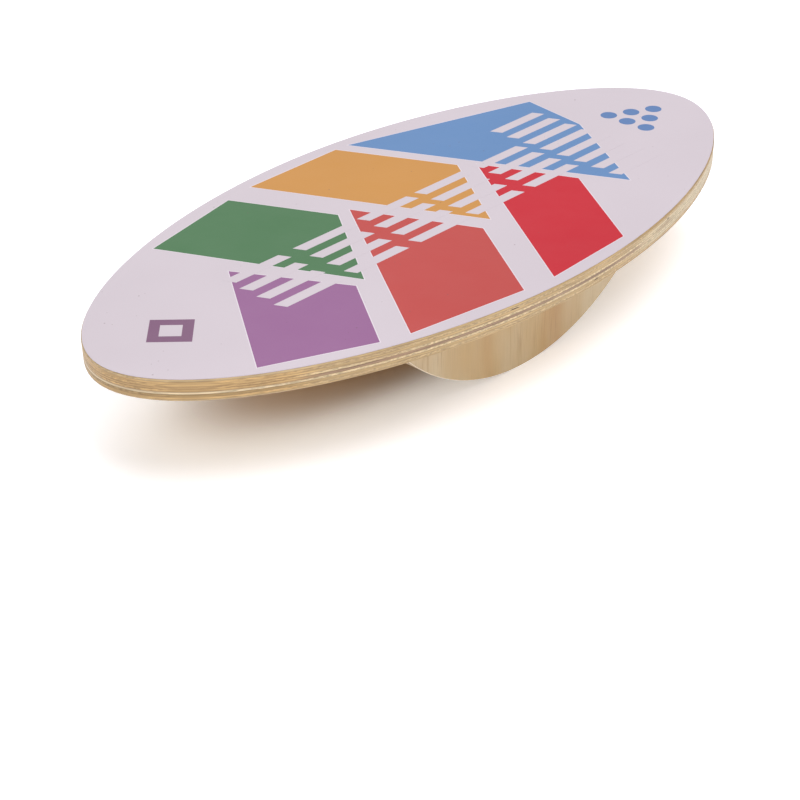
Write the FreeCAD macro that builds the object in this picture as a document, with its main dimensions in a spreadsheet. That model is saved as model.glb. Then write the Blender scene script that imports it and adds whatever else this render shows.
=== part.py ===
"""Balance board: a lens-shaped plywood deck on two plywood rockers joined by a crossbar.

Frame: millimetres, +X along the deck, +Y across it, +Z up. The origin is on the floor under the middle of
the board, which stands level on the lowest line of its two rockers. Every plywood board is laid up from
veneers, and every veneer is a body of its own.
"""
import FreeCAD, Part
import math
import os
from types import SimpleNamespace

import Sketcher
from FreeCAD import Vector

os.makedirs("parts", exist_ok=True)
doc = FreeCAD.newDocument("balance_board")

# Driving dimensions ------------------------------------------------------------------------------

DIMENSIONS = {
    "deck_length": 700,
    "deck_width": 336,
    "deck_thickness": 18,
    "deck_plies": 9,
    "side_reach": 0.52,          # the outline curve's handle at the long side, per half length
    "tip_reach": 0.49,           # the same curve's handle at the tip, per half width
    "sheet_thickness": 0.4,
    "sheet_inset": 0.8,
    "face_veneer": 1.6,
    "edge_bevel": 0.8,
    "rocker_radius": 194,
    "rocker_drop": 86,           # from the deck's underside down to the floor
    "rocker_thickness": 25,
    "rocker_plies": 9,
    "rocker_spacing": 200,       # between the middles of the two rockers
    "slot_plies": 5,             # veneers that the slots are routed through
    "slot_clearance": 2.3,       # at each end of a rocker
    "slot_relief": 2.2,          # radius of the cutter's relief at a slot's corners
    "crossbar_thickness": 25,
    "crossbar_plies": 11,
    "crossbar_depth": 32,
    "crossbar_drop": 36,         # from the deck's underside down to the middle of the bar
    "mortise_plies": 3,          # veneers of a rocker that the bar is let into
    "mortise_relief": 1.3,
    "screw_length": 60,
    "screw_radius": 2.1,
    "screw_clearance": 0.2,
    "screw_sink": 0.2,           # depth of the head below the rocker's face
    "countersink_radius": 4.8,
    "screw_tip": 5,              # length of the taper to the point
    "screw_point_radius": 0.2,
    "recess_width": 1.1,
    "recess_span": 4.6,
    "recess_depth": 1.6,
}

sheet = doc.addObject("Spreadsheet::Sheet", "dims")
for row, (alias, value) in enumerate(DIMENSIONS.items(), start=1):
    sheet.set(f"A{row}", alias)
    sheet.set(f"B{row}", str(value))
    sheet.setAlias(f"B{row}", alias)
doc.recompute()
size = SimpleNamespace(**DIMENSIONS)

# Expressions that several bodies share. A ply is a core veneer, and its thickness follows from its board's.
CORE_PLY = "((dims.{0}_thickness - 2 * dims.face_veneer) / (dims.{0}_plies - 2))"
CHORD_HALF = "sqrt(dims.rocker_radius ^ 2 - (dims.rocker_radius - dims.rocker_drop) ^ 2)"
ROCKER_INNER = "((dims.rocker_spacing - dims.rocker_thickness) / 2)"
ROCKER_OUTER = "((dims.rocker_spacing + dims.rocker_thickness) / 2)"
SLOT_DEPTH = f"(dims.face_veneer + (dims.slot_plies - 1) * {CORE_PLY.format('deck')})"
MORTISE_DEPTH = f"(dims.face_veneer + (dims.mortise_plies - 1) * {CORE_PLY.format('rocker')})"
CROSSBAR_HALF = f"({ROCKER_INNER} + {MORTISE_DEPTH})"
CROSSBAR_LEVEL = "(dims.rocker_drop - dims.crossbar_drop)"

ORIGIN = (-1, 1)
Y_AXIS = (-2,)
START, END, CENTRE = 1, 2, 3
SAME = 1e-6                      # places closer than this are the same


# Sketch helpers ----------------------------------------------------------------------------------

def new_body(name):
    body = doc.addObject("PartDesign::Body", name)
    body.Label = name
    return body


def origin_plane(body, plane):
    return next(item for item in body.Origin.OriginFeatures if item.Role == f"{plane}_Plane")


def new_sketch(body, name, plane, offset="0"):
    """A sketch on one of the body's own origin planes, moved along the plane's normal by an expression."""
    sketch = body.newObject("Sketcher::SketchObject", f"{body.Name}_{name}")
    sketch.AttachmentSupport = (origin_plane(body, plane), [""])
    sketch.MapMode = "FlatFace"
    sketch.setExpression("AttachmentOffset.Base.z", offset)
    return sketch


def relate(sketch, kind, *elements):
    """A constraint with no size, such as Coincident or Horizontal."""
    sketch.addConstraint(Sketcher.Constraint(kind, *elements))


def value_of(expression):
    """What an expression comes to with the dimensions in the sheet."""
    return float(sheet.evalExpression(expression.replace("dims.", "")))


def measure(sketch, kind, *elements, equals):
    """A constraint whose size is an expression."""
    index = sketch.addConstraint(Sketcher.Constraint(kind, *elements, value_of(equals)))
    sketch.setExpression(f"Constraints[{index}]", equals)


def line(sketch, start, end):
    """A straight edge between two points of the sketch plane, each a pair of numbers."""
    return sketch.addGeometry(Part.LineSegment(Vector(*start, 0), Vector(*end, 0)), False)


def relieved_rectangle(sketch, left, right, bottom, top, relief):
    """A rectangle with a round relief centred on each corner. Its sides and relief radius are expressions."""
    x0, x1, y0, y1 = (value_of(side) for side in (left, right, bottom, top))
    radius = value_of(relief)
    corners = [(x1, y1), (x0, y1), (x0, y0), (x1, y0)]
    arcs = []
    for quarter, (x, y) in enumerate(corners):
        circle = Part.Circle(Vector(x, y, 0), Vector(0, 0, 1), radius)
        begin = math.radians(-90 + 90 * quarter)
        arcs.append(sketch.addGeometry(Part.ArcOfCircle(circle, begin, begin + math.radians(270)), False))
    sides = [
        line(sketch, (x1 - radius, y1), (x0 + radius, y1)),
        line(sketch, (x0, y1 - radius), (x0, y0 + radius)),
        line(sketch, (x0 + radius, y0), (x1 - radius, y0)),
        line(sketch, (x1, y0 + radius), (x1, y1 - radius)),
    ]
    for quarter in range(4):
        arc, side, following = arcs[quarter], sides[quarter], arcs[(quarter + 1) % 4]
        relate(sketch, "Horizontal" if quarter % 2 == 0 else "Vertical", side)
        relate(sketch, "Coincident", arc, END, side, START)
        relate(sketch, "Coincident", side, END, following, START)
        relate(sketch, "PointOnObject", arc, CENTRE, side)
        relate(sketch, "PointOnObject", following, CENTRE, side)
        if quarter:
            relate(sketch, "Equal", arcs[0], arc)
    measure(sketch, "DistanceX", *ORIGIN, arcs[0], CENTRE, equals=right)
    measure(sketch, "DistanceY", *ORIGIN, arcs[0], CENTRE, equals=top)
    measure(sketch, "DistanceX", *ORIGIN, arcs[2], CENTRE, equals=left)
    measure(sketch, "DistanceY", *ORIGIN, arcs[2], CENTRE, equals=bottom)
    measure(sketch, "Radius", arcs[0], equals=relief)


def pad(body, sketch, length):
    feature = body.newObject("PartDesign::Pad", f"{body.Name}_pad")
    feature.Profile = sketch
    feature.setExpression("Length", length)
    sketch.Visibility = False
    return feature


def cut_through(body, sketch, name):
    """A pocket through the whole body, on the side of the sketch that its normal points to."""
    feature = body.newObject("PartDesign::Pocket", f"{body.Name}_{name}")
    feature.Profile = sketch
    feature.Type = "ThroughAll"
    feature.Reversed = True
    sketch.Visibility = False


def cut_blind(body, sketch, name, depth, along_normal):
    """A pocket of stated depth, along the sketch's normal or against it."""
    feature = body.newObject("PartDesign::Pocket", f"{body.Name}_{name}")
    feature.Profile = sketch
    feature.Reversed = along_normal
    feature.setExpression("Length", depth)
    sketch.Visibility = False


def bevel_edges(body, wanted):
    """Bevel the edges of the body that the test picks."""
    doc.recompute()
    tip = body.Tip
    names = [f"Edge{number}" for number, edge in enumerate(tip.Shape.Edges, start=1) if wanted(edge)]
    feature = body.newObject("PartDesign::Chamfer", f"{body.Name}_bevel")
    feature.Base = (tip, names)
    feature.setExpression("Size", "dims.edge_bevel")


# Lay-up of a plywood board -------------------------------------------------------------------------

def lay_up(board, plies):
    """Offset and thickness expressions of each veneer of a board, from its first face to its last."""
    core = CORE_PLY.format(board)
    layers = [("0", "dims.face_veneer")]
    for ply in range(1, plies - 1):
        layers.append((f"(dims.face_veneer + {ply - 1} * {core})", core))
    layers.append((f"(dims.{board}_thickness - dims.face_veneer)", "dims.face_veneer"))
    return layers


def ply_names(board, plies, first_face, last_face):
    cores = [f"{board}_core_ply_{number}" for number in range(1, plies - 1)]
    return [f"{board}_{first_face}_veneer", *cores, f"{board}_{last_face}_veneer"]


# Deck --------------------------------------------------------------------------------------------

def lens_blank(body, level, thickness, inset="0"):
    """A plate of the deck's outline: one quarter under a cubic curve, mirrored across both middle planes."""
    half_length = f"(dims.deck_length / 2 - {inset})"
    half_width = f"(dims.deck_width / 2 - {inset})"
    a, b = value_of(half_length), value_of(half_width)
    quarter = new_sketch(body, "quarter", "XY", level)
    along = line(quarter, (0, 0), (a, 0))
    across = line(quarter, (0, b), (0, 0))
    handles = [(a, 0), (a, size.tip_reach * b), (size.side_reach * a, b), (0, b)]
    poles = [Vector(x, y, 0) for x, y in handles]
    curve = quarter.addGeometry(Part.BSplineCurve(poles, None, None, False, 3, None, False), False)
    circles = []
    for number, pole in enumerate(poles):
        circle = quarter.addGeometry(Part.Circle(pole, Vector(0, 0, 1), 1), True)
        relate(quarter, "InternalAlignment:Sketcher::BSplineControlPoint", circle, CENTRE, curve, number)
        circles.append(circle)
    measure(quarter, "Weight", circles[0], equals="1")
    for circle in circles[1:]:
        relate(quarter, "Equal", circles[0], circle)
    relate(quarter, "Coincident", along, START, *ORIGIN)
    relate(quarter, "Horizontal", along)
    relate(quarter, "Coincident", along, END, circles[0], CENTRE)
    relate(quarter, "Coincident", circles[3], CENTRE, across, START)
    relate(quarter, "Vertical", across)
    relate(quarter, "Coincident", across, END, *ORIGIN)
    measure(quarter, "DistanceX", *ORIGIN, circles[0], CENTRE, equals=half_length)
    measure(quarter, "DistanceX", *ORIGIN, circles[1], CENTRE, equals=half_length)
    measure(quarter, "DistanceY", *ORIGIN, circles[1], CENTRE, equals=f"dims.tip_reach * {half_width}")
    measure(quarter, "DistanceX", *ORIGIN, circles[2], CENTRE, equals=f"dims.side_reach * {half_length}")
    measure(quarter, "DistanceY", *ORIGIN, circles[2], CENTRE, equals=half_width)
    measure(quarter, "DistanceY", *ORIGIN, circles[3], CENTRE, equals=half_width)
    plate = pad(body, quarter, thickness)
    whole = body.newObject("PartDesign::MultiTransform", f"{body.Name}_whole")
    whole.Originals = [plate]
    mirrors = []
    for plane in ("YZ", "XZ"):
        mirror = doc.addObject("PartDesign::Mirrored", f"{body.Name}_mirror_{plane}")
        mirror.MirrorPlane = (origin_plane(body, plane), [""])
        mirrors.append(mirror)
    whole.Transformations = mirrors
    body.Tip = whole


def on_outline(edge, level):
    """Whether an edge runs round the deck's rim at a level."""
    box = edge.BoundBox
    at_level = abs(box.ZMin - level) < SAME and abs(box.ZMax - level) < SAME
    return at_level and edge.Curve.TypeId == "Part::GeomBSplineCurve"


def build_deck():
    names = ply_names("deck", size.deck_plies, "bottom", "top")
    for ply, (offset, thickness) in enumerate(lay_up("deck", size.deck_plies)):
        body = new_body(names[ply])
        level = f"dims.rocker_drop + {offset}"
        lens_blank(body, level, thickness)
        if ply < size.slot_plies:
            half_slot = f"({CHORD_HALF} + dims.slot_clearance)"
            for side, (near, far) in {
                "front": (f"-{ROCKER_OUTER}", f"-{ROCKER_INNER}"),
                "rear": (ROCKER_INNER, ROCKER_OUTER),
            }.items():
                outline = new_sketch(body, f"{side}_slot_outline", "XY", level)
                relieved_rectangle(outline, f"-{half_slot}", half_slot, near, far, "dims.slot_relief")
                cut_through(body, outline, f"{side}_slot")
        if ply == 0:
            bevel_edges(body, lambda edge: on_outline(edge, size.rocker_drop))
        if ply == size.deck_plies - 1:
            bevel_edges(body, lambda edge: on_outline(edge, size.rocker_drop + size.deck_thickness))


def build_printed_sheet():
    body = new_body("printed_sheet")
    lens_blank(body, "dims.rocker_drop + dims.deck_thickness", "dims.sheet_thickness", "dims.sheet_inset")


# Rockers -----------------------------------------------------------------------------------------

def rocker_profile(sketch):
    """A circle segment down to the floor, with the straight tenon above it that fills the deck's slot."""
    half = value_of(CHORD_HALF)
    top = size.rocker_drop + value_of(SLOT_DEPTH)
    circle = Part.Circle(Vector(0, size.rocker_radius, 0), Vector(0, 0, 1), size.rocker_radius)
    spread = math.asin(half / size.rocker_radius)
    arc = sketch.addGeometry(Part.ArcOfCircle(circle, -math.pi / 2 - spread, -math.pi / 2 + spread), False)
    right = line(sketch, (half, size.rocker_drop), (half, top))
    across = line(sketch, (half, top), (-half, top))
    left = line(sketch, (-half, top), (-half, size.rocker_drop))
    relate(sketch, "Coincident", arc, END, right, START)
    relate(sketch, "Coincident", right, END, across, START)
    relate(sketch, "Coincident", across, END, left, START)
    relate(sketch, "Coincident", left, END, arc, START)
    relate(sketch, "Vertical", right)
    relate(sketch, "Vertical", left)
    relate(sketch, "Horizontal", across)
    relate(sketch, "PointOnObject", arc, CENTRE, *Y_AXIS)
    measure(sketch, "DistanceY", *ORIGIN, arc, CENTRE, equals="dims.rocker_radius")
    measure(sketch, "Radius", arc, equals="dims.rocker_radius")
    measure(sketch, "DistanceY", *ORIGIN, arc, START, equals="dims.rocker_drop")
    measure(sketch, "DistanceY", *ORIGIN, arc, END, equals="dims.rocker_drop")
    measure(sketch, "DistanceY", *ORIGIN, across, START, equals=f"dims.rocker_drop + {SLOT_DEPTH}")


def turned_profile(body, name, side, stations):
    """A closed half profile about the screw's axis, in the YZ plane.

    Each station is a pair of expressions, the distance from the board's middle plane and the radius
    there, listed from one end of the axis to the other. The first edge of the sketch is the axis.
    """
    sign, minus = (-1, "-") if side == "front" else (1, "")
    level = value_of(CROSSBAR_LEVEL)
    profile = new_sketch(body, name, "YZ")
    points = [(sign * value_of(reach), level + value_of(radius)) for reach, radius in stations]
    points = [(points[-1][0], level), (points[0][0], level), *points]
    edges = [line(profile, points[n], points[(n + 1) % len(points)]) for n in range(len(points))]
    for n, edge in enumerate(edges):
        relate(profile, "Coincident", edge, END, edges[(n + 1) % len(edges)], START)
    relate(profile, "Horizontal", edges[0])
    relate(profile, "Vertical", edges[1])
    relate(profile, "Vertical", edges[-1])
    measure(profile, "DistanceY", *ORIGIN, edges[0], START, equals=CROSSBAR_LEVEL)
    for edge, (reach, radius) in zip(edges[2:], stations):
        measure(profile, "DistanceX", *ORIGIN, edge, START, equals=f"{minus}({reach})")
        measure(profile, "DistanceY", *ORIGIN, edge, START, equals=f"{CROSSBAR_LEVEL} + {radius}")
    return profile


def turn(body, profile, kind):
    feature = body.newObject(f"PartDesign::{kind}", f"{body.Name}_turned")
    feature.Profile = profile
    feature.ReferenceAxis = (profile, ["Edge1"])
    feature.Angle = 360
    profile.Visibility = False


def screw_hole(body, side):
    """The screw's clearance hole, with the countersink at the rocker's outer face."""
    hole = "(dims.screw_radius + dims.screw_clearance)"
    stations = [
        (ROCKER_OUTER, "dims.countersink_radius"),
        (f"{ROCKER_OUTER} - (dims.countersink_radius - {hole})", hole),
        (CROSSBAR_HALF, hole),
    ]
    turn(body, turned_profile(body, "screw_hole", side, stations), "Groove")


def on_rocker_rim(edge):
    """Whether an edge is the rolling arc on one of the two open faces of a rocker."""
    box = edge.BoundBox
    reach = abs(box.YMin)
    on_face = any(abs(reach - value_of(face)) < SAME for face in (ROCKER_INNER, ROCKER_OUTER))
    return on_face and box.YLength < SAME and box.ZMin < SAME


def build_rocker(side):
    names = ply_names(f"rocker_{side}", size.rocker_plies, "inner", "outer")
    for ply, (offset, thickness) in enumerate(lay_up("rocker", size.rocker_plies)):
        body = new_body(names[ply])
        reach = f"({ROCKER_INNER} + {offset})"
        level = reach if side == "front" else f"-({reach} + {thickness})"
        outline = new_sketch(body, "outline", "XZ", level)
        rocker_profile(outline)
        pad(body, outline, thickness)
        if ply < size.mortise_plies:
            mortise = new_sketch(body, "mortise_outline", "XZ", level)
            half_bar = "dims.crossbar_thickness / 2"
            half_depth = "dims.crossbar_depth / 2"
            relieved_rectangle(mortise, f"-{half_bar}", half_bar, f"{CROSSBAR_LEVEL} - {half_depth}",
                               f"{CROSSBAR_LEVEL} + {half_depth}", "dims.mortise_relief")
            cut_through(body, mortise, "mortise")
        else:
            screw_hole(body, side)
        if ply in (0, size.rocker_plies - 1):
            bevel_edges(body, on_rocker_rim)


# Crossbar ----------------------------------------------------------------------------------------

def rectangle(sketch, left, right, bottom, top):
    x0, x1, y0, y1 = (value_of(side) for side in (left, right, bottom, top))
    corners = [(x0, y0), (x1, y0), (x1, y1), (x0, y1)]
    sides = [line(sketch, corners[n], corners[(n + 1) % 4]) for n in range(4)]
    for n, edge in enumerate(sides):
        relate(sketch, "Coincident", edge, END, sides[(n + 1) % 4], START)
        relate(sketch, "Horizontal" if n % 2 == 0 else "Vertical", edge)
    measure(sketch, "DistanceX", *ORIGIN, sides[0], START, equals=left)
    measure(sketch, "DistanceY", *ORIGIN, sides[0], START, equals=bottom)
    measure(sketch, "DistanceX", *ORIGIN, sides[2], START, equals=right)
    measure(sketch, "DistanceY", *ORIGIN, sides[2], START, equals=top)


def pilot_holes(body):
    """A blind hole in each end of the bar that the screw's threaded part fills."""
    depth = f"(dims.screw_length + dims.screw_sink - {ROCKER_OUTER} + {CROSSBAR_HALF})"
    for side, level, along_normal in (("front", CROSSBAR_HALF, False), ("rear", f"-{CROSSBAR_HALF}", True)):
        outline = new_sketch(body, f"{side}_pilot_outline", "XZ", level)
        centre = Vector(0, value_of(CROSSBAR_LEVEL), 0)
        circle = outline.addGeometry(Part.Circle(centre, Vector(0, 0, 1), size.screw_radius), False)
        relate(outline, "PointOnObject", circle, CENTRE, *Y_AXIS)
        measure(outline, "DistanceY", *ORIGIN, circle, CENTRE, equals=CROSSBAR_LEVEL)
        measure(outline, "Radius", circle, equals="dims.screw_radius")
        cut_blind(body, outline, f"{side}_pilot", depth, along_normal)


def on_bar_arris(edge):
    """Whether an edge is a long outer corner of the crossbar."""
    box = edge.BoundBox
    on_face = abs(abs(box.XMin) - size.crossbar_thickness / 2) < SAME
    return on_face and box.XLength < SAME and box.ZLength < SAME


def build_crossbar():
    names = ply_names("crossbar", size.crossbar_plies, "left", "right")
    for ply, (offset, thickness) in enumerate(lay_up("crossbar", size.crossbar_plies)):
        body = new_body(names[ply])
        level = f"({offset} - dims.crossbar_thickness / 2)"
        outline = new_sketch(body, "outline", "YZ", level)
        half_depth = "dims.crossbar_depth / 2"
        rectangle(outline, f"-{CROSSBAR_HALF}", CROSSBAR_HALF, f"{CROSSBAR_LEVEL} - {half_depth}",
                  f"{CROSSBAR_LEVEL} + {half_depth}")
        pad(body, outline, thickness)
        nearest = max(0, value_of(level), -value_of(f"{level} + {thickness}"))
        if nearest < size.screw_radius:
            pilot_holes(body)
        if ply in (0, size.crossbar_plies - 1):
            bevel_edges(body, on_bar_arris)


# Screws ------------------------------------------------------------------------------------------

def build_screw(side):
    """A countersunk wood screw with a cross recess, its head a little below the rocker's face."""
    body = new_body(f"screw_{side}")
    head_face = f"({ROCKER_OUTER} - dims.screw_sink)"
    head_radius = "(dims.countersink_radius - dims.screw_sink)"
    end = f"({head_face} - dims.screw_length)"
    stations = [
        (head_face, head_radius),
        (f"{head_face} - {head_radius} + dims.screw_radius", "dims.screw_radius"),
        (f"{end} + dims.screw_tip", "dims.screw_radius"),
        (end, "dims.screw_point_radius"),
    ]
    turn(body, turned_profile(body, "screw_profile", side, stations), "Revolution")
    long_half, short_half = "dims.recess_span / 2", "dims.recess_width / 2"
    level = head_face if side == "front" else f"-{head_face}"
    for arm, across, up in (("level", long_half, short_half), ("upright", short_half, long_half)):
        slot = new_sketch(body, f"{arm}_recess_outline", "XZ", level)
        rectangle(slot, f"-{across}", across, f"{CROSSBAR_LEVEL} - {up}", f"{CROSSBAR_LEVEL} + {up}")
        cut_blind(body, slot, f"{arm}_recess", "dims.recess_depth", side == "rear")


# Build, check and write --------------------------------------------------------------------------

build_printed_sheet()
build_deck()
for rocker_side in ("front", "rear"):
    build_rocker(rocker_side)
    build_screw(rocker_side)
build_crossbar()
doc.recompute()

for item in doc.Objects:
    if {"Invalid", "Error"} & set(item.State):
        raise RuntimeError(f"{item.Name} did not build: {item.State}")
bodies = doc.findObjects("PartDesign::Body")
for body in bodies:
    if body.Shape.isNull() or not body.Shape.isValid() or len(body.Shape.Solids) != 1:
        raise RuntimeError(f"{body.Label} is not one valid solid")
for body in bodies:
    body.Shape.exportStep(f"parts/{body.Label}.step")
print(f"{len(bodies)} parts written")
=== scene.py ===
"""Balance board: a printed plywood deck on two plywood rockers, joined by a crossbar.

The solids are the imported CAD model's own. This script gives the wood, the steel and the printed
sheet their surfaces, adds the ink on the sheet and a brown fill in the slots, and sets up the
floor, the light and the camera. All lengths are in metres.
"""

import math

import bmesh
import bpy
from mathutils import Matrix, Vector


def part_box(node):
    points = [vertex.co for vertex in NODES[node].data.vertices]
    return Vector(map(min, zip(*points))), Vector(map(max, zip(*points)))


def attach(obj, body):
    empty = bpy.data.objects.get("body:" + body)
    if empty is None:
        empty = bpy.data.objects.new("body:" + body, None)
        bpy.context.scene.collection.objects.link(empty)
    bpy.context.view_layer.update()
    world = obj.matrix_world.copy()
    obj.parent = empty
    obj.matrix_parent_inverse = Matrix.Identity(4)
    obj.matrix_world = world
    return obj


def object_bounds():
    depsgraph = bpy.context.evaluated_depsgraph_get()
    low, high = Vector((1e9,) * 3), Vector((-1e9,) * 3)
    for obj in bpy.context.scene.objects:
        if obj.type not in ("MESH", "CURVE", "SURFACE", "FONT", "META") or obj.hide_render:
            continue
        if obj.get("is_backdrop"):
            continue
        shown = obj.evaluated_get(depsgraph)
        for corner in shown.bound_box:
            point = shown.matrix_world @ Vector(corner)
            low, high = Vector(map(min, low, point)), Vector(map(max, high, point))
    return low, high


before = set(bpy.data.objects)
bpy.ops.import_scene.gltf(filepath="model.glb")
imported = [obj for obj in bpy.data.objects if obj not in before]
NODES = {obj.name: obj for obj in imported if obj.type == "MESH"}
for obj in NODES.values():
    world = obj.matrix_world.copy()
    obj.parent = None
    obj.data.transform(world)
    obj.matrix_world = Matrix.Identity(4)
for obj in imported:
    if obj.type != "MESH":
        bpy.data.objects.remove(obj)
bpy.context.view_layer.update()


# Colours -----------------------------------------------------------------------------------


def srgb(red, green, blue):
    """A linear colour from 0-255 display values."""
    linear = []
    for value in (red, green, blue):
        value /= 255
        linear.append(value / 12.92 if value <= 0.04045 else ((value + 0.055) / 1.055) ** 2.4)
    return (*linear, 1.0)


# The wood's broad sides, faults and glue lines, the print, the screws with their painted shade, and
# the brown fill in the slots.
PALE = srgb(216, 194, 155)
CREAM = srgb(224, 206, 172)
HONEY = srgb(207, 174, 122)
AMBER = srgb(194, 146, 84)
LATEWOOD = srgb(184, 138, 80)
FLECK = srgb(148, 100, 58)
GLUE = srgb(122, 84, 52)
VOID = srgb(52, 36, 24)
TOASTED = srgb(190, 134, 76)
LAVENDER = srgb(188, 178, 186)
OUTLINE = srgb(205, 196, 204)
DUST = srgb(96, 72, 76)
STEEL = srgb(178, 180, 186)
DULL_STEEL = srgb(142, 144, 152)
# Painted shade for the screws' recesses and a painted shadow for their heads' edges.
RECESS_SHADE = srgb(30, 30, 34)
HEAD_EDGE_SHADOW = srgb(92, 80, 74)
SLOT_FILL_BROWN = srgb(166, 112, 56)
SLOT_FILL_DARK = srgb(130, 84, 42)

# The plies' cut edges.
TAN = srgb(204, 170, 120)
SAND = srgb(210, 184, 142)
IVORY = srgb(230, 210, 174)
MILK = srgb(238, 222, 194)
UMBER = srgb(158, 122, 86)
CLAY = srgb(184, 148, 106)
TAWNY = srgb(196, 164, 118)
ASH = srgb(210, 194, 168)
ROSE = srgb(206, 172, 132)
WHEAT = srgb(186, 157, 110)
GOLD = srgb(188, 161, 118)
MAUVE = srgb(154, 126, 100)
STRAW = srgb(210, 186, 144)
OAT = srgb(202, 184, 148)
TOFFEE = srgb(164, 134, 86)
CARAMEL = srgb(194, 158, 104)

# The floor, with the board's shade painted into it.
PAINTED_SHADE_FLOOR = srgb(206, 180, 156)
OPEN_FLOOR = srgb(245, 246, 254)


# Node trees --------------------------------------------------------------------------------


class Surface:
    """One material's node tree, with short calls for the maths used again and again."""

    def __init__(self, name):
        self.material = bpy.data.materials.new(name)
        self.material.use_nodes = True
        self.tree = self.material.node_tree
        self.tree.nodes.clear()
        self.shader = self.add("ShaderNodeBsdfPrincipled")
        self.add("ShaderNodeOutputMaterial", {"Surface": self.shader.outputs[0]})
        place = self.add("ShaderNodeTexCoord")
        self.x, self.y, self.z = self.parts(place.outputs["Object"])
        facing = self.parts(place.outputs["Normal"])
        self.facing = [self.maths("ABSOLUTE", side) for side in facing]

    def add(self, kind, inputs=None, **settings):
        """A new node. Each input is another node's output to link, or a value to set."""
        node = self.tree.nodes.new(kind)
        for key, value in settings.items():
            setattr(node, key, value)
        for key, value in (inputs or {}).items():
            if isinstance(value, bpy.types.NodeSocket):
                self.tree.links.new(value, node.inputs[key])
            else:
                node.inputs[key].default_value = value
        return node

    def parts(self, vector):
        """The x, y and z of a vector."""
        return self.add("ShaderNodeSeparateXYZ", {0: vector}).outputs

    def maths(self, operation, *values):
        inputs = dict(enumerate(values))
        return self.add("ShaderNodeMath", inputs, operation=operation).outputs[0]

    def times(self, a, b):
        return self.maths("MULTIPLY", a, b)

    def plus(self, a, b):
        return self.maths("ADD", a, b)

    def ramp(self, value, low, high, start=0.0, end=1.0):
        """Runs smoothly from start to end while value goes from low to high."""
        inputs = {"Value": value, "From Min": low, "From Max": high, "To Min": start, "To Max": end}
        return self.add(
            "ShaderNodeMapRange", inputs, interpolation_type="SMOOTHSTEP"
        ).outputs["Result"]

    def noise(self, x, y, z, detail, roughness=0.5):
        """Noise from 0 to 1, whose features are about one unit of x, y and z across."""
        where = self.add("ShaderNodeCombineXYZ", {0: x, 1: y, 2: z}).outputs[0]
        inputs = {"Vector": where, "Scale": 1.0, "Detail": detail, "Roughness": roughness}
        return self.add("ShaderNodeTexNoise", inputs).outputs[0]

    def curve(self, value, stops):
        """A value read from (position, height) stops, joined by straight lines."""
        node = self.add("ShaderNodeValToRGB", {0: value})
        points = node.color_ramp.elements
        for index, (position, height) in enumerate(stops):
            point = points[index] if index < 2 else points.new(position)
            point.position, point.color = position, (height, height, height, 1)
        return node.outputs[0]

    def mix(self, amount, first, second, blend="MIX"):
        """From the first colour to the second; 6 and 7 are the node's colour sockets."""
        inputs = {"Factor": amount, 6: first, 7: second}
        return self.add("ShaderNodeMix", inputs, data_type="RGBA", blend_type=blend).outputs[2]

    def bump(self, height, distance, strength, under=None):
        """A normal from a height, on top of the normal from another bump if there is one."""
        inputs = {"Height": height, "Distance": distance, "Strength": strength}
        if under is not None:
            inputs["Normal"] = under
        return self.add("ShaderNodeBump", inputs).outputs[0]

    def finish(self, colour, roughness, normal, **constants):
        """Joins everything to the shader, and gives back the material."""
        for key, value in (("Base Color", colour), ("Roughness", roughness), ("Normal", normal)):
            self.tree.links.new(value, self.shader.inputs[key])
        for key, value in constants.items():
            self.shader.inputs[key.replace("_", " ")].default_value = value
        return self.material


def give(node, material):
    """Puts a material in every material slot of a CAD node."""
    for slot in NODES[node].material_slots:
        slot.material = material


def placed(name, shape, material):
    """The bmesh as a new object of the scene, with one material."""
    mesh = bpy.data.meshes.new(name)
    shape.to_mesh(mesh)
    shape.free()
    mesh.materials.append(material)
    piece = bpy.data.objects.new(name, mesh)
    bpy.context.scene.collection.objects.link(piece)
    return piece


# Wood --------------------------------------------------------------------------------------

# Where a deck ply's edge changes to its tips' colours: from and to, along the deck.
LEFT_TIP = (-0.23, -0.265)
RIGHT_TIP = (0.05, 0.12)

# How deep a ply's glue line is at its darkest, and how deep it can fade out, from the ply's face.
LINE_CORE, LINE_REACH = 0.00008, 0.0007


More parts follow.
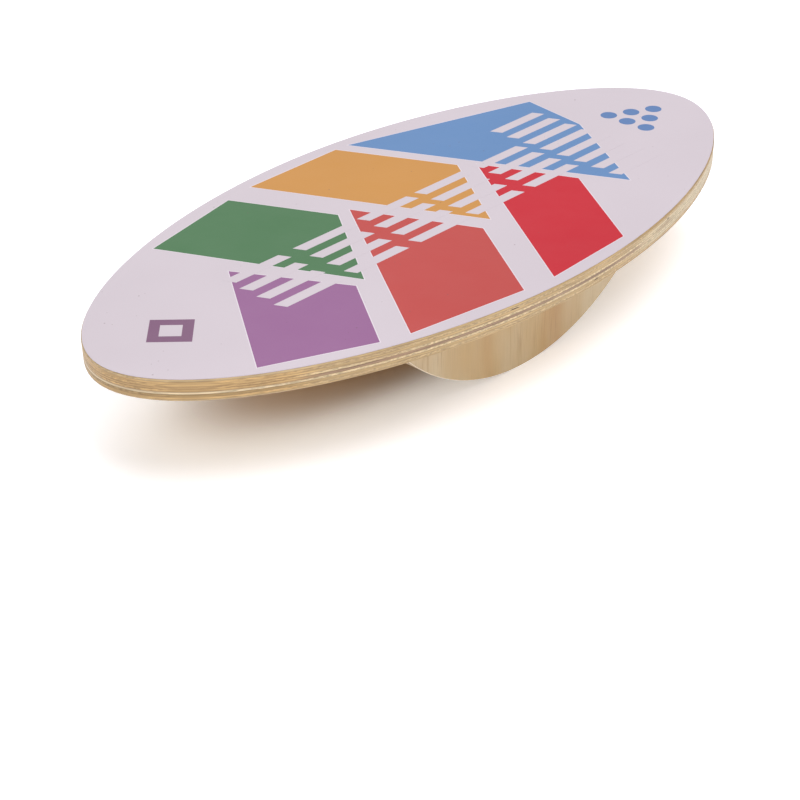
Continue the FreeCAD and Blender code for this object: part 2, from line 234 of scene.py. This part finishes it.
def wood(node, axes, tint, seed, face, roughness, wild, voids=0.0, lines=0.75, tips=None):
    """The material of one ply.

    axes names its grain, its width and its thickness, in that order, such as "xyz". tint is the
    colour of its cut edge. seed picks its part of the noise. face is the figure of a ply whose
    broad side shows, or None. wild is how far the edge's streaks vary in colour, voids how much
    of the edge is open, and lines how dark its glue lines are. tips gives a deck ply its edge's
    colours at the left tip and the right one.
    """
    s = Surface("wood_" + node)
    sides = {"x": s.x, "y": s.y, "z": s.z}
    along, across, deep = (sides[axis] for axis in axes)
    toward = dict(zip("xyz", s.facing))
    end_grain = s.ramp(toward[axes[0]], 0.35, 0.8)

    # The cut edge: long streaks where the grain runs with it, pores where it meets it.
    low, high = (corner["xyz".index(axes[2])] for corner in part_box(node))
    run = s.plus(along, across)
    streaks = s.noise(s.times(along, 22), s.times(across, 60), s.times(deep, 1900), 3, 0.6)
    pores = s.noise(s.times(run, 420), s.times(run, 60), s.times(deep, 900), 3, 0.65)
    broken = s.mix(end_grain, streaks, pores)
    patches = s.noise(s.times(run, 14), seed, s.times(deep, 260), 2)
    contrast = s.ramp(broken, 0.3, 0.72, 0.72 - 0.25 * wild, 1.16 + 0.1 * wild)
    if tips:
        # The rim changes colour towards the tips, where the cut meets the grain at another angle.
        tint = s.mix(s.ramp(s.x, *LEFT_TIP), tint, tips[0])
        tint = s.mix(s.ramp(s.x, *RIGHT_TIP), tint, tips[1])
    colour = s.mix(1.0, tint, contrast, "MULTIPLY")
    colour = s.mix(s.ramp(patches, 0.5, 0.8, 0.0, 0.5 * lines + 0.3 * wild), colour, UMBER)
    colour = s.mix(s.ramp(patches, 0.42, 0.2, 0.0, 0.5 * lines), colour, IVORY)

    # A dark, uneven glue line along both faces of the ply.
    gap = s.maths("MINIMUM", s.maths("SUBTRACT", deep, low), s.maths("SUBTRACT", high, deep))
    wander = s.noise(s.times(run, 160), seed + 3.0, 0.0, 2)
    line = s.ramp(gap, LINE_CORE, s.times(wander, LINE_REACH), 1.0, 0.0)
    colour = s.mix(s.times(line, lines), colour, GLUE)
    height = s.plus(broken, s.times(line, -0.8))
    if voids:
        # Dark openings where the core's sheets don't meet.
        holes = s.noise(s.times(run, 70), seed + 7.0, s.times(deep, 420), 1, 0.4)
        open_part = s.ramp(holes, 0.74 - voids, 0.78 - voids)
        colour = s.mix(open_part, colour, VOID)
        height = s.plus(height, s.times(open_part, -3.0))
    rough = s.ramp(broken, 0.2, 0.8, roughness + 0.2, roughness + 0.02)

    if face:
        # The broad side takes over where the surface faces along the ply's thickness.
        broad = s.ramp(toward[axes[2]], 0.75, 0.95)
        figure, figure_height, figure_rough = broad_side(s, along, across, seed, face, roughness)
        colour = s.mix(broad, colour, figure)
        height = s.mix(broad, height, figure_height)
        rough = s.mix(broad, rough, figure_rough)

    if node.startswith("deck"):
        colour = slot_walls(s, colour, toward["z"])
    normal = s.bump(height, 0.00012, 0.8)
    return s.finish(colour, rough, normal, IOR=1.5, Coat_Weight=0.12, Coat_Roughness=0.3)


def broad_side(s, along, across, seed, face, roughness):
    """Flat-sawn pine: wide honey bands, drifting rings, fine fibres and short brown flecks."""
    # Growth rings, which sway along the grain and close round the eyes.
    drift = s.noise(s.times(along, face["drift"]), s.times(across, 6), seed, 2, 0.45)
    field = s.plus(s.times(across, face["rings"]), s.times(drift, face["sway"]))
    warp = s.noise(s.times(along, 9), s.times(across, 12), seed + 17, 2)
    for u, v, wide, high, push in face.get("eyes", ()):
        du = s.times(s.maths("SUBTRACT", along, u), 1 / wide)
        dv = s.times(s.maths("SUBTRACT", across, v), 1 / high)
        dv = s.plus(dv, s.times(s.maths("SUBTRACT", warp, 0.5), 3.0))
        reach = s.plus(s.times(du, du), s.times(dv, dv))
        field = s.plus(field, s.times(s.maths("EXPONENT", s.times(reach, -1)), push))
    turn = s.maths("FRACT", field)
    ring = s.curve(turn, ((0.0, 0.25), (0.35, 0.0), (0.82, 0.55), (0.95, 1.0), (1.0, 0.25)))
    strength = s.noise(s.times(along, 3), s.times(across, 16), seed + 11, 2)
    ring = s.times(ring, s.ramp(strength, 0.35, 0.7, 0.12, 1.0))

    # The other features, from the broadest to the finest, and their colours in the same order.
    bands = s.noise(s.times(along, 1.6), s.times(across, face["bands"]), seed + 23, 2, 0.55)
    cloud = s.noise(s.times(along, 5), s.times(across, 13), seed + 31, 3)
    fibre = s.noise(s.times(along, 30), s.times(across, 1500), seed, 2, 0.6)
    hair = s.noise(s.times(along, 9), s.times(across, 380), seed + 5, 2, 0.5)
    colour = s.mix(s.ramp(cloud, 0.36, 0.64), PALE, HONEY)
    colour = s.mix(s.ramp(bands, 0.5, 0.72, 0.0, face["amber"]), colour, AMBER)
    colour = s.mix(s.ramp(bands, 0.46, 0.28, 0.0, 0.6), colour, CREAM)
    colour = s.mix(s.times(ring, face["ring"]), colour, LATEWOOD)
    colour = s.mix(1.0, colour, s.ramp(fibre, 0.3, 0.7, 0.95, 1.03), "MULTIPLY")
    shade = s.ramp(hair, 0.3, 0.75, 1.0 + 0.5 * face["hair"], 1.0 - face["hair"])
    colour = s.mix(1.0, colour, shade, "MULTIPLY")

    # Short brown flecks along the grain, in clusters, and a few on their own.
    bent = s.plus(across, s.times(drift, 0.06))
    dash = s.noise(s.times(along, 26), s.times(bent, 640), seed + 41, 1, 0.35)
    cluster = s.noise(s.times(along, 5), s.times(bent, 22), seed + 47, 2, 0.6)
    fleck = s.times(s.ramp(dash, 0.54, 0.68), s.ramp(cluster, 0.48, 0.62))
    lone = s.noise(s.times(along, 12), s.times(bent, 520), seed + 53, 0)
    fleck = s.maths("MAXIMUM", fleck, s.times(s.ramp(lone, 0.72, 0.84), 0.8))
    colour = s.mix(s.times(fleck, face["flecks"]), colour, FLECK)
    colour = s.mix(1.0, colour, face["tint"], "MULTIPLY")

    relief = s.plus(s.times(fibre, 0.5), s.plus(s.times(ring, 0.5), s.times(fleck, -1.2)))
    sheen = s.noise(s.times(along, 12), s.times(across, 70), seed + 61, 3)
    rough = s.plus(s.ramp(sheen, 0.3, 0.7, roughness - 0.1, roughness + 0.06), s.times(fleck, 0.1))
    return colour, relief, rough


def slot_walls(s, colour, up):
    """Browns the sawn walls at the ends of the rocker slots, and the wood just round them.

    out_x and out_y are how far a place lies outside a rocker's end and its sides.
    """
    out_x = s.maths("SUBTRACT", s.maths("ABSOLUTE", s.x), SLOT_END)
    off_middle = s.maths("SUBTRACT", s.maths("ABSOLUTE", s.y), SLOT_Y)
    out_y = s.maths("SUBTRACT", s.maths("ABSOLUTE", off_middle), SLOT_HALF)
    away = s.maths("MAXIMUM", out_x, out_y)
    near_end = s.ramp(s.maths("ABSOLUTE", out_x), 0.002, 0.006, 1.0, 0.0)
    ragged = s.noise(s.times(s.x, 700), s.times(s.y, 700), s.times(s.z, 160), 3)
    wall = s.times(s.ramp(away, 0.0008, 0.0015, 1.0, 0.0), s.ramp(up, 0.3, 0.6, 1.0, 0.0))
    halo = s.times(s.ramp(away, 0.0, s.times(ragged, 0.0028), 1.0, 0.0), 0.55)
    scorch = s.times(s.maths("MAXIMUM", wall, halo), near_end)
    return s.mix(scorch, colour, s.mix(s.times(ragged, 0.5), TOASTED, UMBER))


# Where the rear rocker is let into the deck: its end, its middle and half its thickness. The front
# one and both left ends are mirror images.
rocker_low, rocker_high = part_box("rocker_rear_inner_veneer")
outer_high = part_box("rocker_rear_outer_veneer")[1]
SLOT_END = rocker_high.x
SLOT_Y = (rocker_low.y + outer_high.y) / 2
SLOT_HALF = (outer_high.y - rocker_low.y) / 2

# The figure of each kind of broad side. rings and bands count per metre across the grain, and
# the rings sway by up to so many rings as they drift along it. amber, ring, hair and flecks are
# how strongly each of these shows, and tint multiplies the whole. An eye is where rings close:
# (along, across, half length, half width, how many rings).
DECK_FACE = {
    "drift": 2.6, "rings": 36.0, "sway": 9.5, "bands": 15.0, "amber": 0.62, "ring": 0.6,
    "hair": 0.07, "flecks": 0.9, "tint": (0.91, 0.925, 0.92, 1.0),
    "eyes": ((-0.235, 0.018, 0.06, 0.015, 1.3), (-0.105, -0.012, 0.04, 0.012, 1.4),
             (0.13, -0.03, 0.07, 0.016, 1.2), (0.05, 0.14, 0.06, 0.012, 1.0)),
}
ROCKER_FACE = {
    "drift": 1.8, "rings": 20.0, "sway": 2.4, "bands": 15.0, "amber": 0.75, "ring": 0.14,
    "hair": 0.014, "flecks": 0.3, "tint": (0.825, 0.832, 0.835, 1.0),
}
ROCKER_INNER_FACE = dict(ROCKER_FACE, rings=26.0, bands=30.0, amber=1.0, ring=0.6, hair=0.02,
                         tint=(0.97, 0.94, 0.86, 1.0))

# Each ply of the deck, with its edge's colour along the middle, at the left tip and at the right.
DECK_PLIES = (
    ("deck_bottom_veneer", WHEAT, GOLD, TOFFEE),
    ("deck_core_ply_1", GOLD, CARAMEL, GOLD),
    ("deck_core_ply_2", WHEAT, TOFFEE, OAT),
    ("deck_core_ply_3", STRAW, PALE, OAT),
    ("deck_core_ply_4", MAUVE, CARAMEL, OAT),
    ("deck_core_ply_5", STRAW, CARAMEL, OAT),
    ("deck_core_ply_6", WHEAT, CARAMEL, OAT),
    ("deck_core_ply_7", GOLD, CARAMEL, WHEAT),
    ("deck_top_veneer", WHEAT, GOLD, TOFFEE),
)
DECK_VOIDS = {2: 0.02, 6: 0.04, 7: 0.05}
DECK_SEED = 3.0
for index, (node, tint, left, right) in enumerate(DECK_PLIES):
    axes = "xyz" if index % 2 == 0 else "yxz"
    face = DECK_FACE if index in (0, 8) else None
    wild, lines = (0.7, 0.7) if 2 < index < 6 else (0.3, 0.35)
    give(node, wood(node, axes, tint, DECK_SEED + index, face, 0.46, wild=wild, lines=lines,
                    voids=DECK_VOIDS.get(index, 0.0), tips=(left, right)))

# The plies of a rocker from its inner side to its outer one, and those of the crossbar from its
# left side to its right one, with the colours of their edges.
ROCKER_PLIES = (("inner_veneer", IVORY), ("core_ply_1", TAWNY), ("core_ply_2", IVORY),
                ("core_ply_3", ASH), ("core_ply_4", ASH), ("core_ply_5", CREAM),
                ("core_ply_6", ASH), ("core_ply_7", CLAY), ("outer_veneer", MILK))
for rocker, seed in (("rocker_front_", 204.0), ("rocker_rear_", 71.0)):
    for index, (ply, tint) in enumerate(ROCKER_PLIES):
        node = rocker + ply
        axes = "zxy" if index % 2 == 0 else "xzy"
        face = {0: ROCKER_INNER_FACE, 8: ROCKER_FACE}.get(index)
        wild = 0.9 if 2 < index < 7 else 0.25
        give(node, wood(node, axes, tint, seed + index, face, 0.48, wild=wild))

CROSSBAR_PLIES = (("left_veneer", TAN), ("core_ply_1", IVORY), ("core_ply_2", SAND),
                  ("core_ply_3", IVORY), ("core_ply_4", TAWNY), ("core_ply_5", MILK),
                  ("core_ply_6", CLAY), ("core_ply_7", MILK), ("core_ply_8", CLAY),
                  ("core_ply_9", SAND), ("right_veneer", ROSE))
CROSSBAR_VOIDS = {4: 0.04, 6: 0.09, 8: 0.05}
CROSSBAR_SEED = 90.0
for index, (ply, tint) in enumerate(CROSSBAR_PLIES):
    node = "crossbar_" + ply
    axes = "yzx" if index % 2 == 0 else "zyx"
    face = ROCKER_FACE if index in (0, 10) else None
    give(node, wood(node, axes, tint, CROSSBAR_SEED + index, face, 0.5, wild=0.6,
                    voids=CROSSBAR_VOIDS.get(index, 0.0)))


# Steel -------------------------------------------------------------------------------------


def steel(node):
    """Zinc-plated steel, faintly mottled, with fine turning marks round the head, painted shade in
    the cross recess and a painted shadow round the head's edge.
    """
    s = Surface("steel_" + node)
    low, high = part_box(node)
    out_z = s.maths("SUBTRACT", s.z, (low.z + high.z) / 2)
    radius = s.maths("SQRT", s.plus(s.times(s.x, s.x), s.times(out_z, out_z)))
    turned = s.noise(s.times(radius, 5200), s.times(s.y, 900), 0.0, 2)
    mottle = s.noise(s.times(s.x, 900), s.times(s.y, 900), s.times(s.z, 900), 3)
    colour = s.mix(s.ramp(mottle, 0.35, 0.75, 0.0, 0.5), STEEL, DULL_STEEL)
    # Painted shade in the cross recess, darkest deep in it.
    front = max(abs(low.y), abs(high.y))
    painted_recess_shade = s.ramp(s.maths("ABSOLUTE", s.y), front - 0.0005, front - 0.0001, 1.0, 0.0)
    colour = s.mix(s.times(painted_recess_shade, 0.95), colour, RECESS_SHADE)
    # A painted shadow round the head's edge, where it sits in its countersink.
    head = (high.x - low.x) / 2
    rim = s.ramp(radius, head - 0.0008, head - 0.0002, 0.0, 0.8)
    colour = s.mix(rim, colour, HEAD_EDGE_SHADOW)
    rough = s.plus(s.ramp(mottle, 0.3, 0.7, 0.24, 0.4), s.times(turned, 0.08))
    return s.finish(colour, rough, s.bump(turned, 0.00003, 0.5), Metallic=1.0)


for node in ("screw_front", "screw_rear"):
    give(node, steel(node))


# Printed sheet -----------------------------------------------------------------------------


FILM_ROUGHNESS = 0.42


def film(name, ink):
    """Printed plastic film: satin, with a faint orange-peel skin, handling marks and dust."""
    s = Surface(name)
    skin = s.noise(s.times(s.x, 260), s.times(s.y, 260), s.times(s.z, 260), 2)
    wave = s.noise(s.times(s.x, 22), s.times(s.y, 22), 0.0, 2)
    tone = s.noise(s.times(s.x, 4), s.times(s.y, 4), 3.0, 3)
    grain = s.noise(s.times(s.x, 1100), s.times(s.y, 1100), 5.0, 2)
    dust = s.noise(s.times(s.x, 330), s.times(s.y, 330), 9.0, 0)
    slant, other_slant = s.plus(s.x, s.y), s.maths("SUBTRACT", s.x, s.y)
    scuff = s.noise(s.times(slant, 700), s.times(other_slant, 26), 4.0, 2)
    colour = s.mix(1.0, ink, s.ramp(tone, 0.25, 0.75, 0.965, 1.03), "MULTIPLY")
    colour = s.mix(1.0, colour, s.ramp(grain, 0.2, 0.8, 0.98, 1.02), "MULTIPLY")
    colour = s.mix(s.ramp(dust, 0.85, 0.89, 0.0, 0.5), colour, DUST)
    marks = s.ramp(scuff, 0.66, 0.8, 0.0, 0.1)
    sheen = s.ramp(wave, 0.25, 0.75, FILM_ROUGHNESS - 0.03, FILM_ROUGHNESS + 0.06)
    rough = s.plus(sheen, marks)
    normal = s.bump(skin, 0.00005, 0.5, s.bump(wave, 0.0004, 0.35))
    return s.finish(colour, rough, normal, IOR=1.46, Specular_IOR_Level=0.2)


def solid(name, outlines, low, high, material):
    """Flat shapes with the given outlines, as one piece between two heights."""
    shape = bmesh.new()
    for outline in outlines:
        base = [shape.verts.new((x, y, low)) for x, y in outline]
        top = [shape.verts.new((x, y, high)) for x, y in outline]
        shape.faces.new(base[::-1])
        shape.faces.new(top)
        for i in range(len(outline)):
            j = (i + 1) % len(outline)
            shape.faces.new((base[i], base[j], top[j], top[i]))
    bmesh.ops.recalc_face_normals(shape, faces=shape.faces)
    piece = placed(name, shape, material)
    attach(piece, "root")


def grown(outline, margin):
    """The outline with every side moved out by the margin."""
    points = [Vector(p) for p in outline]
    area = sum(a.x * b.y - b.x * a.y for a, b in zip(points, points[1:] + points[:1]))
    margin = math.copysign(margin, area)
    moved = []
    for i, point in enumerate(points):
        before = (point - points[i - 1]).normalized()
        after = (points[(i + 1) % len(points)] - point).normalized()
        out = Vector((before.y + after.y, -before.x - after.x))
        reach = 1 + before.dot(after)
        moved.append(point + out * (margin / reach))
    return moved


def disc(x, y, radius, sides=48):
    """The outline of a round spot, as a polygon of many sides."""
    return [(x + radius * math.cos(2 * math.pi * i / sides),
             y + radius * math.sin(2 * math.pi * i / sides)) for i in range(sides)]


def diamond(x, y, half_length, half_width):
    """The outline of a diamond with its corners on the two axes through its middle."""
    return [(x - half_length, y), (x, y - half_width), (x + half_length, y), (x, y + half_width)]


give("printed_sheet", film("film_sheet", LAVENDER))

# The inks are sunk a little into the sheet and stand a little above it, each on the last.
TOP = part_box("printed_sheet")[1].z
BELOW = TOP - 0.00005
OUTLINE_TOP, INK_TOP, STRIPE_TOP = TOP + 0.00002, TOP + 0.00004, TOP + 0.00006
OUTLINE_WIDTH = 0.0008

# Six plain slanting panels, three along each long side of the deck.
PANELS = (
    ("green", srgb(63, 106, 68),
     ((-0.202, 0.121), (-0.099, 0.145), (-0.056, 0.053), (-0.124, -0.047))),
    ("orange", srgb(183, 129, 62),
     ((-0.068, 0.151), (0.038, 0.153), (0.087, 0.047), (0.024, -0.049))),
    ("blue", srgb(87, 123, 169),
     ((0.053, 0.152), (0.242, 0.095), (0.231, 0.024), (0.164, -0.088))),
    ("purple", srgb(134, 87, 131),
     ((-0.187, 0.044), (-0.274, -0.087), (-0.187, -0.127), (-0.136, -0.050))),
    ("coral", srgb(171, 60, 57),
     ((-0.042, 0.053), (-0.162, -0.135), (-0.053, -0.153), (0.007, -0.056))),
    ("red", srgb(178, 14, 36),
     ((0.100, 0.035), (-0.020, -0.156), (0.073, -0.152), (0.137, -0.052))),
)
outline_film = film("film_outline", OUTLINE)
for name, ink, outline in PANELS:
    panel_film = film("film_" + name, ink)
    rim = grown(outline, OUTLINE_WIDTH)
    solid("print_outline_" + name, [rim], BELOW, OUTLINE_TOP, outline_film)
    solid("print_panel_" + name, [outline], BELOW, INK_TOP, panel_film)

# Rows of plain slanting stripes across the middle: (start along the deck, how many).
STRIPE_LENGTH, STRIPE_WIDTH, STRIPE_PITCH, STRIPE_SLANT = 0.060, 0.0105, 0.020, 0.005
ROWS = ((-0.196, 4), (-0.120, 4), (-0.046, 4), (0.024, 4), (0.098, 4), (0.168, 8))
stripe_film = film("film_stripes", LAVENDER)
for number, (start, count) in enumerate(ROWS, 1):
    stripes = []
    for k in range(count):
        y = (k - (count - 1) / 2) * STRIPE_PITCH
        low, high = y - STRIPE_WIDTH / 2, y + STRIPE_WIDTH / 2
        end = start + STRIPE_LENGTH
        stripes.append([(start, low), (end, low),
                        (end - STRIPE_SLANT, high), (start - STRIPE_SLANT, high)])
    solid(f"print_stripes_{number}", stripes, BELOW, STRIPE_TOP, stripe_film)


def slot_fill():
    """A brown fill, blotchy and a little shiny."""
    s = Surface("slot_fill")
    blotch = s.noise(s.times(s.x, 900), s.times(s.y, 500), s.times(s.z, 900), 3, 0.6)
    colour = s.mix(s.ramp(blotch, 0.3, 0.7), SLOT_FILL_BROWN, SLOT_FILL_DARK)
    return s.finish(colour, s.ramp(blotch, 0.3, 0.7, 0.4, 0.6), s.bump(blotch, 0.0003, 0.7), IOR=1.5)


# A brown fill just inside each slot, past the end of its rocker. It fills the gap there and the
# round reliefs that the cutter left at the corners, all but a hair short of their walls.
SLOT_GAP, SLOT_RELIEF = 0.00228, 0.00212
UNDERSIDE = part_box("deck_bottom_veneer")[0].z
GLUE_LOW, GLUE_HIGH = UNDERSIDE + 0.0007, UNDERSIDE + 0.0020
slot_fill_material = slot_fill()
for y_name, y_sign in (("front", -1), ("rear", 1)):
    for x_name, x_sign in (("left", -1), ("right", 1)):
        tip, wall = x_sign * SLOT_END, x_sign * (SLOT_END + SLOT_GAP)
        sides = y_sign * SLOT_Y - SLOT_HALF, y_sign * SLOT_Y + SLOT_HALF
        bead = [[(tip, sides[0]), (wall, sides[0]), (wall, sides[1]), (tip, sides[1])]]
        bead += [disc(wall, side, SLOT_RELIEF) for side in sides]
        solid(f"glue_{y_name}_{x_name}", bead, GLUE_LOW, GLUE_HIGH, slot_fill_material)

# The rest of the print: a nested diamond towards the left tip, the inner one half as big.
DIAMOND_X, DIAMOND_Y, HALF_LENGTH, HALF_WIDTH = -0.281, 0.003, 0.024, 0.025
outer = diamond(DIAMOND_X, DIAMOND_Y, HALF_LENGTH, HALF_WIDTH)
inset = diamond(DIAMOND_X, DIAMOND_Y, HALF_LENGTH / 2, HALF_WIDTH / 2)
solid("print_diamond", [outer], BELOW, INK_TOP, film("film_diamond", srgb(114, 78, 107)))
solid("print_diamond_inset", [inset], BELOW, STRIPE_TOP, stripe_film)

# A triangle of dots towards the right tip, in columns of three, two and one.
DOTS_X, DOTS_Y, DOT_RADIUS, DOT_PITCH, DOT_COLUMN = 0.286, -0.005, 0.0078, 0.022, 0.020
dots = []
for column, places in enumerate(((-1, 0, 1), (-0.5, 0.5), (0,)), -1):
    for place in places:
        dots.append(disc(DOTS_X + DOT_COLUMN * column, DOTS_Y + DOT_PITCH * place, DOT_RADIUS))
solid("print_dots", dots, BELOW, INK_TOP, film("film_dots", srgb(82, 113, 161)))


# Floor, light and camera -------------------------------------------------------------------

FLOOR_HALF_SIDE = 12.0

# The board's shade, painted brown into the floor, and a weak painted glow of light round it: the
# oval's middle, half length and half width, how far out the floor goes from painted brown shade to
# white, and how far out the painted glow sets in.
SHADE_OVAL = (-0.035, 0.02, 0.39, 0.165)
SHADE_FADE = (0.25, 0.65)
GLOW_FADE = (0.4, 0.68)
GLOW_STRENGTH = 0.3
GLOW_COLOUR = (1.0, 0.99, 0.94, 1.0)


def oval(s, x, y, half_length, half_width):
    """How far out a place lies: 0 at the middle of an oval on the floor, and 1 on its edge."""
    along = s.times(s.plus(s.x, -x), 1 / half_length)
    across = s.times(s.plus(s.y, -y), 1 / half_width)
    return s.maths("SQRT", s.plus(s.times(along, along), s.times(across, across)))


def floor():
    """A white floor, with the board's shade painted brown into it and a faint painted glow of light
    away from it.
    """
    s = Surface("floor")
    tooth = s.noise(s.times(s.x, 300), s.times(s.y, 300), 0.0, 2)
    outward = oval(s, *SHADE_OVAL)
    # The board's shade, painted brown into the floor's colour.
    colour = s.mix(s.ramp(outward, *SHADE_FADE), PAINTED_SHADE_FLOOR, OPEN_FLOOR)
    colour = s.mix(1.0, colour, s.ramp(tooth, 0.2, 0.8, 0.995, 1.0), "MULTIPLY")
    s.finish(colour, s.ramp(tooth, 0.2, 0.8, 0.78, 0.84), s.bump(tooth, 0.00005, 0.3),
             Emission_Color=GLOW_COLOUR)
    # A painted glow of light on the floor, away from the board.
    painted_glow = s.ramp(outward, *GLOW_FADE, 0.0, GLOW_STRENGTH)
    s.tree.links.new(painted_glow, s.shader.inputs["Emission Strength"])
    shape = bmesh.new()
    bmesh.ops.create_grid(shape, x_segments=8, y_segments=8, size=FLOOR_HALF_SIDE)
    piece = placed("floor", shape, s.material)
    piece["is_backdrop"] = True


def sky():
    """Even studio surroundings, a little brighter overhead than at the horizon."""
    world = bpy.data.worlds.new("studio")
    world.use_nodes = True
    tree = world.node_tree
    tree.nodes.clear()
    place = tree.nodes.new("ShaderNodeTexCoord")
    split = tree.nodes.new("ShaderNodeSeparateXYZ")
    tree.links.new(place.outputs["Generated"], split.inputs[0])
    fade = tree.nodes.new("ShaderNodeMapRange")
    for key, value in (("From Min", 0.0), ("From Max", 0.9), ("To Min", 0.62), ("To Max", 0.75)):
        fade.inputs[key].default_value = value
    tree.links.new(split.outputs[2], fade.inputs["Value"])
    light = tree.nodes.new("ShaderNodeBackground")
    light.inputs["Color"].default_value = (1.0, 1.0, 1.0, 1.0)
    tree.links.new(fade.outputs["Result"], light.inputs["Strength"])
    out = tree.nodes.new("ShaderNodeOutputWorld")
    tree.links.new(light.outputs[0], out.inputs["Surface"])
    bpy.context.scene.world = world


def lamp(name, place, size, power, tint):
    """A round lamp aimed at the origin, with its size across and its power in watts."""
    data = bpy.data.lights.new(name, "AREA")
    data.shape, data.size, data.energy, data.color = "DISK", size, power, tint
    lamp_object = bpy.data.objects.new(name, data)
    lamp_object.location = place
    lamp_object.rotation_mode = "QUATERNION"
    lamp_object.rotation_quaternion = (-Vector(place)).to_track_quat("-Z", "Y")
    bpy.context.scene.collection.objects.link(lamp_object)


def camera():
    """A long lens, a little over thirty degrees up, off the deck's left front.

    It looks at a point on the floor in front of the board, so that the board stands in the upper
    half of the picture.
    """
    aim, distance = Vector((-0.1156, -0.0755, 0)), 1.4692
    turn, rise, roll = map(math.radians, (-45.08, 31.54, -1.39))
    flat = math.cos(rise)
    back = Vector((math.sin(turn) * flat, -math.cos(turn) * flat, math.sin(rise)))
    level = Vector((math.cos(turn), math.sin(turn), 0))
    raised = back.cross(level)
    right = math.cos(roll) * level + math.sin(roll) * raised
    up = math.cos(roll) * raised - math.sin(roll) * level
    data = bpy.data.cameras.new("camera")
    data.lens, data.sensor_width = 80.9, 36.0
    data.clip_start, data.clip_end = 0.05, 60.0
    eye = bpy.data.objects.new("camera", data)
    facing = Matrix((right, up, back)).transposed().to_4x4()
    eye.matrix_world = Matrix.Translation(aim + back * distance) @ facing
    bpy.context.scene.collection.objects.link(eye)
    bpy.context.scene.camera = eye


floor()
sky()
lamp("key", place=(-0.2, -1.6, 3.4), size=2.2, power=70.0, tint=(1.0, 0.99, 0.98))
lamp("fill", place=(1.2, 1.8, 2.8), size=2.2, power=38.0, tint=(1.0, 1.0, 1.0))
camera()
bpy.context.scene.view_settings.view_transform = "Standard"
bpy.context.scene.cycles.use_denoising = True

low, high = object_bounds()
